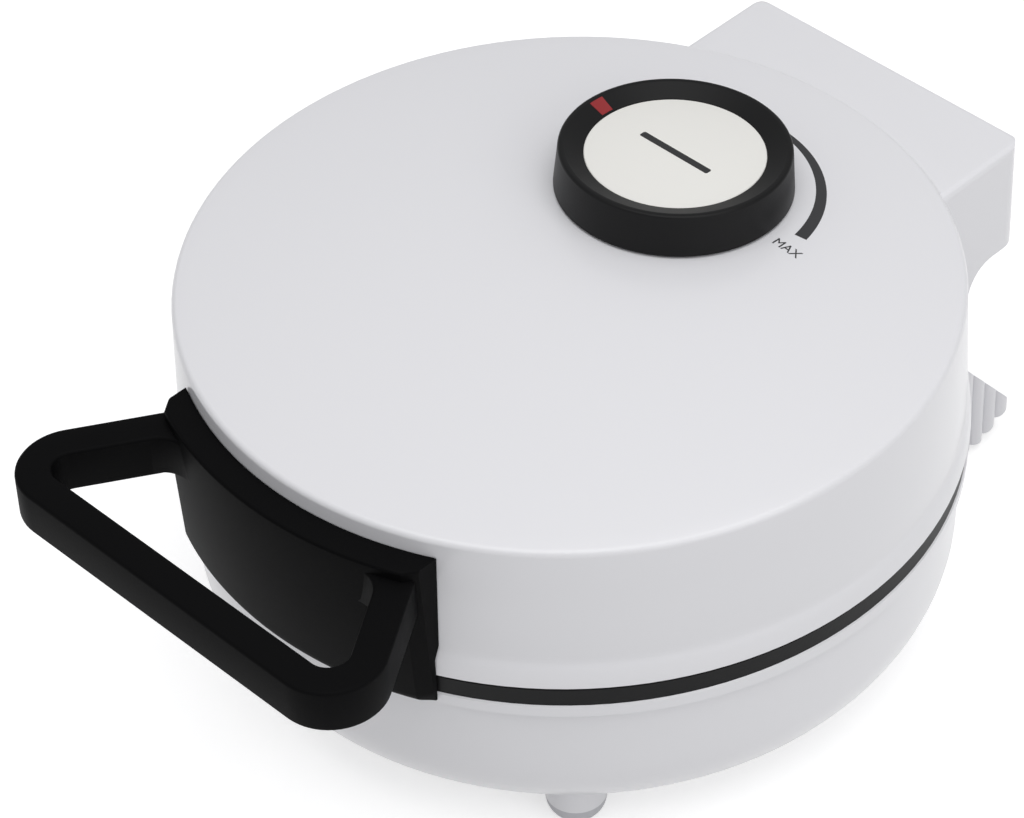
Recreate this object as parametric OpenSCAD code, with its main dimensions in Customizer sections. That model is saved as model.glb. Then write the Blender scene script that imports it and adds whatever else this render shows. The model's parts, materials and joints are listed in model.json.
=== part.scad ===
/* [Body] */
// Radius of the lid at its top edge
body_r = 105; // [98:1:112]
// Wall thickness of the white mouldings
wall_t = 2.5; // [2:0.1:3]
// Height of the base's top edge above the table
base_h = 58; // [54:1:64]
// Height of the lid from its bottom edge to its top edge
lid_h = 45.7; // [42:0.1:52]
// How far the domed top rises above the lid's edge
dome_rise = 8.4; // [6:0.2:12]
// Radius that rounds the lid's top edge
lid_edge_r = 1.8; // [1:0.1:2.5]
// How much wider the lid's wall is at its foot than at its top
lid_draft = 1.1; // [0.5:0.1:1.6]
// How far the lips of lid and base stand out
lip_out = 1.4; // [0.8:0.1:1.8]
// Height of the lid's lip
lid_lip_h = 6; // [4:0.5:8]
// Height of the base's lip
base_lip_h = 3.2; // [2.5:0.1:4]
// Radius of the base's rounded bottom corner
bowl_corner_r = 27; // [22:1:30]

/* [Baking plates] */
// How far the edge of the baking face lies behind the lid's edge
plate_margin = 12.2; // [12:0.2:15]
// Space between the two flat baking faces
bake_gap = 2.7; // [2.4:0.1:3.5]
// Height of the raised pattern lines
relief_h = 0.7; // [0.4:0.1:1]
// Width of the raised pattern lines
relief_w = 1.3; // [0.8:0.1:2]
// Thickness of a baking plate
plate_t = 4.4; // [4:0.1:5]
// Number of petals in the plate's outer border
petals = 16; // [12:2:20]
// Radius of the heating element's ring
heater_ring_r = 62; // [55:1:68]
// Radius of the heating element's tube
heater_tube_r = 3.3; // [2.8:0.1:3.6]
// Distance of the reflectors' posts from the middle of the body
post_ring_r = 74; // [70:1:78]
// Length of the screws in the posts
post_screw_l = 10; // [8:0.5:11]
// How far the floor's air slots lie from the middle, left and right
slot_x = 30; // [26:1:36]
// How far the thermal fuse lies to the right of the body's middle
fuse_x = 30; // [26:1:34]
// How far the thermal fuse lies behind the body's middle
fuse_y = -16; // [-20:1:-10]
// Height of the dark ring between lid and base
ring_h = 6; // [5:0.5:7]
// How far the dark ring lies behind the base's lip
ring_recess = 1.9; // [1.2:0.1:2.4]

/* [Handle] */
// Half the width of the black front block
apron_half_w = 46.5; // [42:0.5:50]
// How far the front block's top lies under the lid's edge
apron_drop = 5.5; // [4:0.5:8]
// Height of the front block
apron_h = 48.5; // [44:0.5:52]
// Thickness of the front block at its top
apron_t = 8; // [7:0.5:10]
// How far the handle reaches in front of the lid's edge
grip_reach = 42.5; // [38:0.5:50]
// Half the width of the handle where its outer lines cross
grip_half_w = 75; // [70:0.5:80]
// Angle at which the handle's arms spread
arm_splay = 32.4; // [28:0.2:34]
// Width of the handle's bar
bar_w = 8; // [7:0.5:9]
// Height of the handle's bar
bar_h = 12.5; // [9:0.5:13.5]
// Outer radius of the handle's corners
grip_corner_r = 14; // [12:0.5:16]
// How far the bar's top lies under the lid's edge
bar_drop = 8.5; // [8:0.5:10]

/* [Hinge and heel] */
// Half the width of the lid's hinge block
block_half_w = 49; // [46:0.5:52]
// How far the hinge block reaches behind the lid's edge
block_reach = 24; // [23:0.5:28]
// How far the hinge block's top lies under the lid's edge
block_drop = 3.7; // [3:0.1:5]
// Height of the hinge block's back
block_h = 34.5; // [33:0.5:35.5]
// Radius of the hinge block's upright corners
block_corner_r = 7; // [5:0.5:9]
// Distance of the hinge pin behind the lid's edge
pin_back = 12; // [11.5:0.1:12.5]
// Radius of the hinge pin
pin_r = 2.5; // [2:0.1:3]
// Radius of the hinge knuckles
knuckle_r = 7; // [6.4:0.1:7.2]
// Half the width of the hinge between its outer faces
hinge_half_w = 36; // [34:0.5:38]
// Width of each hinge lug on the base
lug_w = 10; // [8:0.5:12]
// Height of the heel's back edge
heel_back_h = 8; // [6:0.5:10]
// Slope of the heel's top, in degrees
heel_slope = 50; // [46:1:52]
// Number of upright flutes on each side of the heel
flutes = 5; // [4:1:6]
// Radius of the cord's way in
inlet_r = 4.5; // [4:0.1:5]
// Height of the cord's way in above the table
inlet_z = 36; // [34:0.5:38]

/* [Feet] */
// Distance of each foot from the middle of the body
foot_ring_r = 88; // [82:1:90]
// Angle of each foot's place from the line across the body
foot_turn = 46; // [42:1:48]
// Radius of a foot at its top
foot_top_r = 8.3; // [7.5:0.1:9]
// Radius of a foot at the table
foot_tip_r = 4.6; // [4:0.1:6]
// Height of a foot, which lifts the base's flat bottom off the table
foot_h = 6; // [5:0.5:7]

/* [Knob] */
// Distance of the knob behind the middle of the lid
knob_back = 40.6; // [36:0.1:46]
// Radius of the knob at its top
knob_r = 31.5; // [28:0.1:34]
// Height of the knob
knob_h = 12.2; // [11:0.1:14]
// Radius of the pale cap
cap_r = 24.5; // [21:0.1:26]
// Length of the dark bar on the cap
mark_l = 25.6; // [20:0.1:30]
// Width of the dark bar on the cap
mark_w = 2; // [1.5:0.1:3]
// Radius of the thermostat's spindle
spindle_r = 3; // [2.5:0.1:3.2]

/* [Hidden] */
$fn = 96;

white = [0.88, 0.88, 0.91];
black = [0.09, 0.09, 0.10];
steel = [0.72, 0.73, 0.75];
coated = [0.20, 0.20, 0.21];

// Gap between pieces that lie against each other without touching
seat_gap = 0.3;
// Radial play of a turning fit and of a pressed fit
run_play = 0.05;
press_play = 0.02;
// Extra length that carries a cut clear of a face
over = 1;

// Heights above the table
floor_z = foot_h;
bake_r = body_r - plate_margin;
lid_z = base_h + ring_h + seat_gap;
edge_z = lid_z + lid_h;
crown_z = edge_z + dome_rise;
ring_top_z = base_h + ring_h;
parting_z = ring_top_z + seat_gap / 2;

// Radii of the lid's wall and lips, and of the base
lid_foot_r = body_r + lid_draft;
lid_lip_r = lid_foot_r + lip_out;
base_lip_r = lid_lip_r - 0.4;
base_wall_r = base_lip_r - lip_out - 0.3;
bowl_r = base_wall_r - 0.6;
ring_r = base_lip_r - ring_recess;
lip_flare_h = 4.2;
lip_edge = 0.5;

// The ring and the plate that it clamps: the lower set, in heights under the ring's top
rim_r = bake_r + 3.4;
rim_w = 2.8;
flange_out = 2.3;
flange_t = 3;
plate_face = bake_gap / 2 - seat_gap / 2;
plate_rim = 0.1;
plate_back = plate_face + plate_t;
ring_edge_r = rim_r + seat_gap;
ring_step_r = rim_r + flange_out + seat_gap + 2;
ring_lip_t = ring_h - flange_t - seat_gap;
ledge_r = ring_edge_r + 1;
ledge_t = 5.5;
screw_ring_r = (ring_step_r + rim_r + flange_out + 3) / 2;
screw_r = 1.5;
screw_head_r = 2.7;
screw_head_t = 1.8;
screw_l = 13;
screw_boss_r = 4;
screws = 4;

// Reflectors and their posts
reflector_r = bake_r - 4;
reflector_t = 0.8;
reflector_z = base_h - 12;
reflector_rim_h = 9;
post_r = 4;
post_turn = 30;

// Heating element: its terminals and where it lies under the plate
heater_drop = plate_back + heater_tube_r + seat_gap;
heater_open = 30;
terminal_r = 2;
terminal_l = 24;

// The hinge
rear_reach = body_r + block_reach;
pin_y = body_r + pin_back;
pin_z = lid_z - seat_gap;
block_top_z = edge_z - block_drop;
block_bottom_z = block_top_z - block_h;
hinge_play = 0.4;
knuckle_out = hinge_half_w - lug_w - hinge_play;
knuckle_w = 12;
tower_back_y = rear_reach - 6.7;
tower_top_z = pin_z - knuckle_r - 2;
tower_t = 3;
heel_bottom_z = 2.5;
flute_r = 2.7;
flute_pitch = 2 * flute_r;
heel_side_x = block_half_w + 0.5 - flute_r;
heel_back_y = rear_reach;

// The handle
front_reach = body_r + grip_reach;
apron_top_z = edge_z - apron_drop;
apron_bottom_z = apron_top_z - apron_h;
apron_gap = 0.15;
apron_draft = 2.5;
apron_chamfer = 8;
bar_top_z = edge_z - bar_drop;
bar_chamfer = 1.4;
handle_screw_x = 24;
handle_screw_z = edge_z - 24;
handle_screw_l = 11;
handle_boss_y = -body_r + 9;

// The knob's frame on the dome
dome_r = (pow(dome_foot_r(), 2) + pow(dome_rise_full(), 2)) / (2 * dome_rise_full());
knob_tilt = asin(knob_back / dome_r);
knob_seat_z = dome_z(knob_back);
knob_skirt_t = 2.2;
knob_top_t = 2.6;
cap_t = 1.6;
cap_play = 0.1;
inlay_t = 0.8;
bush_r = 4.6;
bush_top = 3.4;
nut_r = 6.6;
nut_t = 2.6;
shoulder_t = 1.6;
stat_w = 30;
stat_d = 24;
stat_h = 14;
feeler_hole_r = 4;

// Middle of the body, so that the whole object is centred on the origin
axis_y = (front_reach - rear_reach) / 2;

// Foot of the dome, where the rounded edge hands over to it
function dome_angle() = 80;
function dome_foot_r() = body_r - lid_edge_r + lid_edge_r * cos(dome_angle());
function dome_foot_z() = edge_z - lid_edge_r + lid_edge_r * sin(dome_angle());
function dome_rise_full() = crown_z - dome_foot_z();
// Height of the dome's skin at a distance r from the body's middle
function dome_z(r) = crown_z - dome_r + sqrt(pow(dome_r, 2) - pow(r, 2));
// Points of an arc about (x, y)
function arc(x, y, r, from, to, steps) =
    [for (i = [0:steps]) let (a = from + (to - from) * i / steps) [x + r * cos(a), y + r * sin(a)]];
// Points of the dome, lowered by t, from radius r to the middle
function dome(r, t, steps = 14) =
    [for (i = [0:steps]) let (d = r * (1 - i / steps)) [d, dome_z(d) - t]];
// Outline of a bar with cut corners, from the origin to (w, h)
function cut_bar(w, h, c) =
    [[c, 0], [w - c, 0], [w, c], [w, h - c], [w - c, h], [c, h], [0, h - c], [0, c]];

// The frame of the body's middle
module on_body() {
    translate([0, axis_y, 0])
        children();
}

// The frame of the knob: its seat on the dome, square to the skin
module on_dome() {
    on_body()
        translate([0, knob_back, knob_seat_z])
            rotate([-knob_tilt, 0, 0])
                children();
}

// The lower set turned over for the lid
module in_lid() {
    translate([0, 0, 2 * parting_z])
        mirror([0, 0, 1])
            children();
}

// Copies on a circle
module round_copies(count, radius, turn = 0) {
    for (i = [0:count - 1])
        rotate([0, 0, turn + i * 360 / count])
            translate([radius, 0, 0])
                children();
}

// A cylinder along X from one place to another
module rod_x(x0, x1, r) {
    translate([x0, 0, 0])
        rotate([0, 90, 0])
            cylinder(h = x1 - x0, r = r);
}

// A side outline, given as [y, z], between two places along X
module side_slab(x0, x1, points) {
    translate([x0, 0, 0])
        rotate([90, 0, 90])
            linear_extrude(height = x1 - x0)
                polygon(points);
}

// A front outline, given as [x, z], between two places along Y
module front_slab(y0, y1, points) {
    translate([0, y1, 0])
        rotate([90, 0, 0])
            linear_extrude(height = y1 - y0)
                polygon(points);
}

// A pan head screw, head up, with the underside of its head at the origin
module screw(r, head_r, head_t, length) {
    rotate_extrude()
        polygon([[0, -length], [r - 0.4, -length], [r, -length + 0.6], [r, 0], [head_r, 0],
                 [head_r, head_t * 0.5], [head_r * 0.75, head_t], [0, head_t]]);
}

// Sleeves into which the screws of a clamp ring go, below the ledge
module ring_bosses() {
    round_copies(screws, screw_ring_r, 45)
        translate([0, 0, base_h - screw_l - 2])
            cylinder(h = screw_l + 2 - ledge_t / 4, r = screw_boss_r, $fn = 48);
}

// Screw holes for a clamp ring
module ring_boss_holes() {
    round_copies(screws, screw_ring_r, 45)
        translate([0, 0, base_h - screw_l])
            cylinder(h = screw_l + over, r = screw_r + press_play, $fn = 32);
}

// Posts for a reflector, from height z up to its underside
module posts(z) {
    round_copies(screws, post_ring_r, post_turn)
        translate([0, 0, z])
            cylinder(h = reflector_z - z, r = post_r, $fn = 48);
}

// Screw holes in the posts
module post_holes() {
    round_copies(screws, post_ring_r, post_turn)
        translate([0, 0, reflector_z - post_screw_l - 1])
            cylinder(h = post_screw_l + 1 + over, r = screw_r + press_play, $fn = 32);
}

// Outside of the base's bowl up to its lip
module bowl_skin() {
    lip_under_z = base_h - base_lip_h;
    rotate_extrude()
        polygon(concat(
            [[0, floor_z]],
            arc(bowl_r - bowl_corner_r, floor_z + bowl_corner_r, bowl_corner_r, -90, 0, 12),
            [[base_wall_r, lip_under_z], [base_lip_r, lip_under_z + lip_edge],
             [base_lip_r, base_h - lip_edge], [base_lip_r - lip_edge, base_h], [0, base_h]]));
}

// Hollow of the bowl, with the ledge that carries the lower plate
module bowl_hollow() {
    inner_r = bowl_corner_r - wall_t;
    ledge_z = base_h - ledge_t;
    rotate_extrude()
        polygon(concat(
            [[0, floor_z + wall_t]],
            arc(bowl_r - bowl_corner_r, floor_z + bowl_corner_r, inner_r, -90, 0, 10),
            [[base_wall_r - wall_t, ledge_z - ledge_t], [ledge_r, ledge_z],
             [ledge_r, base_h + over], [0, base_h + over]]));
}

// Plan of the heel with its upright flutes
module heel_plan(inset) {
    side = heel_side_x - inset;
    translate([-side, body_r - 25])
        square([2 * side, heel_back_y - inset - body_r + 25]);
}

// Heel: a hollow foot behind the base, sloped on top and fluted at its sides
module heel() {
    run = (base_h - base_lip_h - heel_bottom_z - heel_back_h) / tan(heel_slope);
    top_z = heel_bottom_z + heel_back_h;
    front_y = body_r - 25;
    outline = [[front_y, heel_bottom_z], [heel_back_y, heel_bottom_z], [heel_back_y, top_z],
               [heel_back_y - run, top_z + run * tan(heel_slope)],
               [front_y, top_z + run * tan(heel_slope)]];
    intersection() {
        union() {
            linear_extrude(height = base_h)
                heel_plan(0);
            for (side = [-1, 1])
                for (i = [0:flutes - 1])
                    translate([side * heel_side_x, heel_back_y - flute_r - i * flute_pitch, 0])
                        cylinder(h = base_h, r = flute_r, $fn = 40);
        }
        side_slab(-block_half_w - 5, block_half_w + 5, outline);
    }
}

// Room inside the heel, open below
module heel_hollow() {
    run = (base_h - base_lip_h - heel_bottom_z - heel_back_h) / tan(heel_slope);
    drop = wall_t / cos(heel_slope);
    top_z = heel_bottom_z + heel_back_h - wall_t * 1.2;
    front_y = body_r - 25;
    rise = run * tan(heel_slope);
    back_y = heel_back_y - wall_t;
    intersection() {
        linear_extrude(height = base_h)
            heel_plan(wall_t);
        side_slab(-block_half_w, block_half_w,
            [[front_y, heel_bottom_z - over], [back_y, heel_bottom_z - over], [back_y, top_z],
             [back_y - run, top_z + rise - drop + wall_t * 1.2],
             [front_y, top_z + rise - drop + wall_t * 1.2]]);
    }
}

// Hinge tower on the heel, with the two lugs that hold the pin
module hinge_tower() {
    side_slab(-hinge_half_w, hinge_half_w,
        [[body_r - 12, heel_bottom_z + 12], [tower_back_y, heel_bottom_z + 12],
         [tower_back_y, tower_top_z], [body_r - 12, tower_top_z]]);
    for (side = [-1, 1])
        translate([side * (hinge_half_w - lug_w / 2), 0, 0]) {
            translate([0, pin_y, pin_z])
                rod_x(-lug_w / 2, lug_w / 2, knuckle_r);
            side_slab(-lug_w / 2, lug_w / 2,
                [[pin_y - knuckle_r, tower_top_z - 5], [tower_back_y, tower_top_z - 5],
                 [tower_back_y, pin_z - 4], [pin_y, pin_z], [pin_y - knuckle_r, pin_z]]);
        }
}

// Room inside the hinge tower for the wires
module tower_hollow() {
    side_slab(-hinge_half_w + tower_t, hinge_half_w - tower_t,
        [[bowl_r - 1, heel_bottom_z], [tower_back_y - tower_t, heel_bottom_z],
         [tower_back_y - tower_t, tower_top_z - tower_t], [bowl_r - 1, tower_top_z - tower_t]]);
}

// Air slots in the base's floor
module floor_slots() {
    slot_w = 3;
    slot_l = 26;
    slot_pitch = 8;
    for (side = [-1, 1])
        for (i = [-3:3])
            translate([side * slot_x - slot_l / 2, i * slot_pitch - slot_w / 2, floor_z - over])
                cube([slot_l, slot_w, wall_t + 2 * over]);
}

module base_shell() {
    color(white)
        on_body()
            difference() {
                union() {
                    difference() {
                        union() {
                            bowl_skin();
                            heel();
                            hinge_tower();
                            foot_seats();
                        }
                        difference() {
                            union() {
                                heel_hollow();
                                tower_hollow();
                            }
                            bowl_skin();
                        }
                        bowl_hollow();
                    }
                    intersection() {
                        union() {
                            ring_bosses();
                            posts(floor_z);
                        }
                        bowl_skin();
                    }
                }
                ring_boss_holes();
                post_holes();
                floor_slots();
                translate([0, pin_y, pin_z])
                    rod_x(-hinge_half_w - over, hinge_half_w + over, pin_r + press_play);
                translate([0, bowl_r - 12, inlet_z])
                    rotate([-90, 0, 0])
                        cylinder(h = tower_back_y - bowl_r + 12 + over, r = inlet_r, $fn = 48);
            }
}

// The four feet's places, alike on all sides
module foot_places() {
    for (turn = [foot_turn, 180 - foot_turn, 180 + foot_turn, -foot_turn])
        rotate([0, 0, turn])
            translate([foot_ring_r, 0, 0])
                children();
}

// Flat seats under the bowl's corner for the feet
module foot_seats() {
    foot_places()
        translate([0, 0, foot_h])
            cylinder(h = bowl_corner_r / 2, r = foot_top_r, $fn = 64);
}

module feet() {
    edge = 0.7;
    color([0.80, 0.80, 0.82])
        on_body()
            foot_places()
                rotate_extrude($fn = 64)
                    polygon([[0, 0], [foot_tip_r - edge, 0], [foot_tip_r, edge],
                             [foot_top_r - edge / 2, foot_h - edge], [foot_top_r, foot_h],
                             [0, foot_h]]);
}

// Clamp ring over the edge of a plate, with the outer radius r
module clamp_ring(r) {
    edge = 0.6;
    lip_z = ring_top_z - ring_lip_t;
    difference() {
        rotate_extrude()
            polygon([[ring_edge_r, lip_z], [ring_step_r, lip_z], [ring_step_r, base_h],
                     [r, base_h], [r, ring_top_z - edge], [r - edge, ring_top_z],
                     [ring_edge_r + edge, ring_top_z], [ring_edge_r, ring_top_z - edge]]);
        round_copies(screws, screw_ring_r, 45) {
            translate([0, 0, base_h - over])
                cylinder(h = ring_h + 2 * over, r = screw_r + 0.2, $fn = 32);
            translate([0, 0, ring_top_z - screw_head_t - 0.4])
                cylinder(h = screw_head_t + 0.4 + over, r = screw_head_r + 0.3, $fn = 40);
        }
    }
}

// Screws of a clamp ring
module clamp_screws() {
    round_copies(screws, screw_ring_r, 45)
        translate([0, 0, ring_top_z - screw_head_t - 0.4])
            screw(screw_r, screw_head_r, screw_head_t, screw_l + ring_h - screw_head_t - 1.4);
}

module rim_ring() {
    color(black)
        on_body()
            clamp_ring(ring_r);
}

module rim_screws() {
    color(steel)
        on_body()
            clamp_screws();
}

// A flat ring, by the radius of its middle line
module line_ring(r) {
    difference() {
        circle(r = r + relief_w / 2);
        circle(r = r - relief_w / 2);
    }
}

// Raised pattern of a wafer iron: rings, rays, a border of petals and a middle flower
module relief() {
    border_r = bake_r * 0.94;
    inner_r = bake_r * 0.66;
    flower_r = bake_r * 0.25;
    petal_r = inner_r * 3.14159 / petals;
    line_ring(border_r);
    line_ring(inner_r);
    line_ring(flower_r);
    // Rays from the flower to the inner ring, and shorter ones in the border
    for (i = [0:petals - 1])
        rotate([0, 0, i * 360 / petals])
            translate([flower_r, -relief_w / 2])
                square([inner_r - flower_r, relief_w]);
    // Petals of the border
    intersection() {
        for (i = [0:petals - 1])
            rotate([0, 0, (i + 0.5) * 360 / petals])
                translate([inner_r + petal_r * 0.35, 0])
                    line_ring(petal_r);
        difference() {
            circle(r = border_r);
            circle(r = inner_r);
        }
    }
    // Half circles between the rays
    intersection() {
        for (i = [0:petals / 2 - 1])
            rotate([0, 0, (i + 0.5) * 720 / petals])
                translate([inner_r * 0.72, 0])
                    line_ring(petal_r * 1.3);
        difference() {
            circle(r = inner_r);
            circle(r = flower_r);
        }
    }
    // Petals of the middle flower
    intersection() {
        for (i = [0:petals / 2 - 1])
            rotate([0, 0, i * 720 / petals])
                translate([flower_r * 0.5, 0])
                    line_ring(flower_r * 0.42);
        circle(r = flower_r);
    }
}

// Baking plate with its rim, its flange and the raised pattern
module plate() {
    face_z = ring_top_z - plate_face;
    back_z = ring_top_z - plate_back;
    rim_z = ring_top_z - plate_rim;
    edge = 0.4;
    rotate_extrude()
        polygon([[0, back_z], [rim_r - 3, back_z], [rim_r - 3, base_h],
                 [rim_r + flange_out, base_h], [rim_r + flange_out, base_h + flange_t],
                 [rim_r, base_h + flange_t], [rim_r, rim_z - edge], [rim_r - edge, rim_z],
                 [rim_r - rim_w, rim_z], [bake_r, face_z], [0, face_z]]);
    translate([0, 0, face_z - 0.5])
        linear_extrude(height = relief_h + 0.5)
            relief();
}

module lower_plate() {
    color(coated)
        on_body()
            plate();
}

// Tubular heating element with its two terminals
module heater() {
    z = ring_top_z - heater_drop;
    translate([0, 0, z])
        rotate([0, 0, 90 + heater_open / 2])
            rotate_extrude(angle = 360 - heater_open)
                translate([heater_ring_r, 0])
                    circle(r = heater_tube_r, $fn = 32);
    for (side = [-1, 1])
        rotate([0, 0, 90 + side * (heater_open / 2 + 1)])
            translate([heater_ring_r, 0, z - terminal_l])
                cylinder(h = terminal_l, r = terminal_r, $fn = 32);
}

module lower_heater() {
    color([0.45, 0.44, 0.43])
        on_body()
            heater();
}

// Sheet reflector under the plate, with holes for screws and terminals
module reflector() {
    hole_play = 1.5;
    difference() {
        rotate_extrude()
            polygon([[0, reflector_z], [reflector_r, reflector_z],
                     [reflector_r, reflector_z + reflector_rim_h],
                     [reflector_r - reflector_t, reflector_z + reflector_rim_h],
                     [reflector_r - reflector_t, reflector_z + reflector_t],
                     [0, reflector_z + reflector_t]]);
        round_copies(screws, post_ring_r, post_turn)
            translate([0, 0, reflector_z - over])
                cylinder(h = reflector_t + 2 * over, r = screw_r + 0.2, $fn = 32);
        for (side = [-1, 1])
            rotate([0, 0, 90 + side * (heater_open / 2 + 1)])
                translate([heater_ring_r, 0, reflector_z - over])
                    cylinder(h = reflector_t + 2 * over, r = terminal_r + hole_play, $fn = 32);
    }
}

module reflector_screws() {
    round_copies(screws, post_ring_r, post_turn)
        translate([0, 0, reflector_z + reflector_t])
            screw(screw_r, screw_head_r, screw_head_t, post_screw_l);
}

module lower_reflector() {
    color(steel)
        on_body()
            reflector();
}

module lower_reflector_screws() {
    color(steel)
        on_body()
            reflector_screws();
}

// Cut-out under the lower plate, held by a saddle
module thermal_fuse() {
    fuse_r = 2.2;
    fuse_l = 16;
    saddle_w = 5;
    back_z = ring_top_z - plate_back;
    color([0.85, 0.80, 0.70])
        on_body()
            translate([fuse_x, fuse_y, back_z - fuse_r - 0.5]) {
                rod_x(-fuse_l / 2, fuse_l / 2, fuse_r);
                translate([-saddle_w / 2, -fuse_r * 2, 0])
                    cube([saddle_w, fuse_r * 4, fuse_r + 0.5]);
            }
}

// Ceramic block that joins the cord's wires to the inner wires
module terminal_block() {
    size = [30, 13, 12];
    hole_r = 2;
    pitch = 9;
    color([0.93, 0.91, 0.86])
        on_body()
            translate([0, bowl_r - bowl_corner_r - size[1] - 3, floor_z + wall_t])
                difference() {
                    translate([-size[0] / 2, 0, 0])
                        cube(size);
                    for (i = [-1:1])
                        translate([i * pitch, -over, size[2] / 2])
                            rotate([-90, 0, 0])
                                cylinder(h = size[1] + 2 * over, r = hole_r, $fn = 32);
                }
}

// Flanged bush through which the cord comes in
module cord_gland() {
    flange_r = inlet_r + 2.2;
    bush_play = 0.1;
    bore_r = inlet_r - 1.4;
    reach = tower_t + 2;
    color([0.80, 0.80, 0.82])
        on_body()
            translate([0, tower_back_y, inlet_z])
                rotate([-90, 0, 0])
                    rotate_extrude($fn = 64)
                        polygon([[bore_r, -reach], [inlet_r - bush_play, -reach],
                                 [inlet_r - bush_play, 0], [flange_r, 0], [flange_r, 1],
                                 [flange_r - 0.6, 1.6], [bore_r, 1.6]]);
}

module hinge_pin() {
    edge = 0.5;
    half_l = hinge_half_w - 0.5;
    color(steel)
        on_body()
            translate([-half_l, pin_y, pin_z])
                rotate([0, 90, 0])
                    rotate_extrude($fn = 64)
                        polygon([[0, 0], [pin_r - edge, 0], [pin_r, edge],
                                 [pin_r, 2 * half_l - edge], [pin_r - edge, 2 * half_l],
                                 [0, 2 * half_l]]);
}

// Outside of the lid: lip, flare, drafted wall, rounded edge and dome
module lid_skin() {
    lip_top_z = lid_z + lid_lip_h;
    rotate_extrude($fn = 144)
        polygon(concat(
            [[0, lid_z], [lid_lip_r - lip_edge, lid_z], [lid_lip_r, lid_z + lip_edge],
             [lid_lip_r, lip_top_z]],
            [[lid_lip_r - lip_out * 0.35, lip_top_z + lip_flare_h * 0.25],
             [lid_lip_r - lip_out * 0.75, lip_top_z + lip_flare_h * 0.6],
             [lid_foot_r, lip_top_z + lip_flare_h]],
            arc(body_r - lid_edge_r, edge_z - lid_edge_r, lid_edge_r, 0, dome_angle() - 8, 6),
            dome(dome_foot_r(), 0)));
}

// Hollow of the lid, with the ledge over the upper plate
module lid_hollow() {
    pocket_r = lid_lip_r - wall_t;
    ledge_z = 2 * parting_z - base_h;
    wall_top_z = edge_z - wall_t - lid_edge_r;
    rotate_extrude()
        polygon(concat(
            [[0, lid_z - over], [pocket_r, lid_z - over], [pocket_r, ledge_z],
             [ledge_r, ledge_z], [ledge_r, ledge_z + ledge_t],
             [lid_foot_r - wall_t, ledge_z + 2 * ledge_t], [body_r - wall_t, wall_top_z - 2]],
            dome(body_r - wall_t - 2.5, wall_t)));
}

// Outside of the hinge block
module block_skin() {
    edge = 2.2;
    front_y = body_r - 24;
    sweep_r = block_bottom_z - pin_z + 2;
    plan = concat(
        [[-block_half_w, front_y]],
        [[block_half_w, front_y]],
        arc(block_half_w - block_corner_r, rear_reach - block_corner_r, block_corner_r, 0, 90, 8),
        arc(-block_half_w + block_corner_r, rear_reach - block_corner_r, block_corner_r, 90, 180, 8));
    intersection() {
        translate([0, 0, lid_z])
            linear_extrude(height = edge_z - lid_z)
                polygon(plan);
        side_slab(-block_half_w - 1, block_half_w + 1, concat(
            [[front_y, lid_z]],
            arc(pin_y, block_bottom_z - sweep_r, sweep_r,
                180 - asin((lid_z - block_bottom_z + sweep_r) / sweep_r), 90, 8),
            [[rear_reach, block_bottom_z]],
            arc(rear_reach - edge, block_top_z - edge, edge, 0, 90, 6),
            [[front_y, block_top_z]]));
        front_slab(front_y - 1, rear_reach + 1, concat(
            [[block_half_w, lid_z]],
            arc(block_half_w - edge, block_top_z - edge, edge, 0, 90, 6),
            arc(-block_half_w + edge, block_top_z - edge, edge, 90, 180, 6),
            [[-block_half_w, lid_z]]));
    }
}

// Hollow sweep where the hinge block's top runs into the dome's edge
module block_fillet() {
    fillet_r = block_drop - lid_edge_r;
    intersection() {
        rotate_extrude($fn = 144)
            polygon(concat(
                [[body_r - 4, block_top_z - 1], [body_r + fillet_r + 2, block_top_z - 1]],
                arc(body_r + fillet_r + 0.1, block_top_z + fillet_r, fillet_r, 270, 180, 5),
                [[body_r - 4, block_top_z + fillet_r]]));
        translate([-block_half_w + 2.2, 0, 0])
            cube([2 * block_half_w - 4.4, rear_reach, crown_z]);
    }
}

// Room inside the hinge block, open to the lid
module block_hollow() {
    front_y = body_r - 8;
    half_w = block_half_w - wall_t;
    floor_top_z = block_bottom_z + wall_t;
    ledge_top_z = 2 * parting_z - base_h + 2 * ledge_t + 0.5;
    difference() {
        translate([-half_w, front_y, floor_top_z])
            cube([2 * half_w, rear_reach - wall_t - front_y, block_top_z - wall_t - floor_top_z]);
        rotate_extrude()
            polygon([[0, floor_top_z - over], [body_r + 3, floor_top_z - over],
                     [body_r + 3, ledge_top_z], [0, ledge_top_z]]);
    }
}

// Knuckles under the hinge block, which turn on the pin
module lid_knuckles() {
    for (side = [-1, 1])
        translate([side * (knuckle_out - knuckle_w / 2), 0, 0]) {
            translate([0, pin_y, pin_z])
                rod_x(-knuckle_w / 2, knuckle_w / 2, knuckle_r);
            side_slab(-knuckle_w / 2, knuckle_w / 2,
                [[pin_y - knuckle_r, pin_z], [pin_y + knuckle_r, pin_z],
                 [pin_y + knuckle_r, block_bottom_z + wall_t / 2],
                 [pin_y - knuckle_r, block_bottom_z + wall_t / 2]]);
        }
}

// Screw bosses for the handle, inside the lid's front wall
module handle_bosses() {
    for (side = [-1, 1])
        translate([side * handle_screw_x, handle_boss_y, handle_screw_z])
            rotate([90, 0, 0])
                cylinder(h = 6, r = 5, $fn = 48);
}

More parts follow.
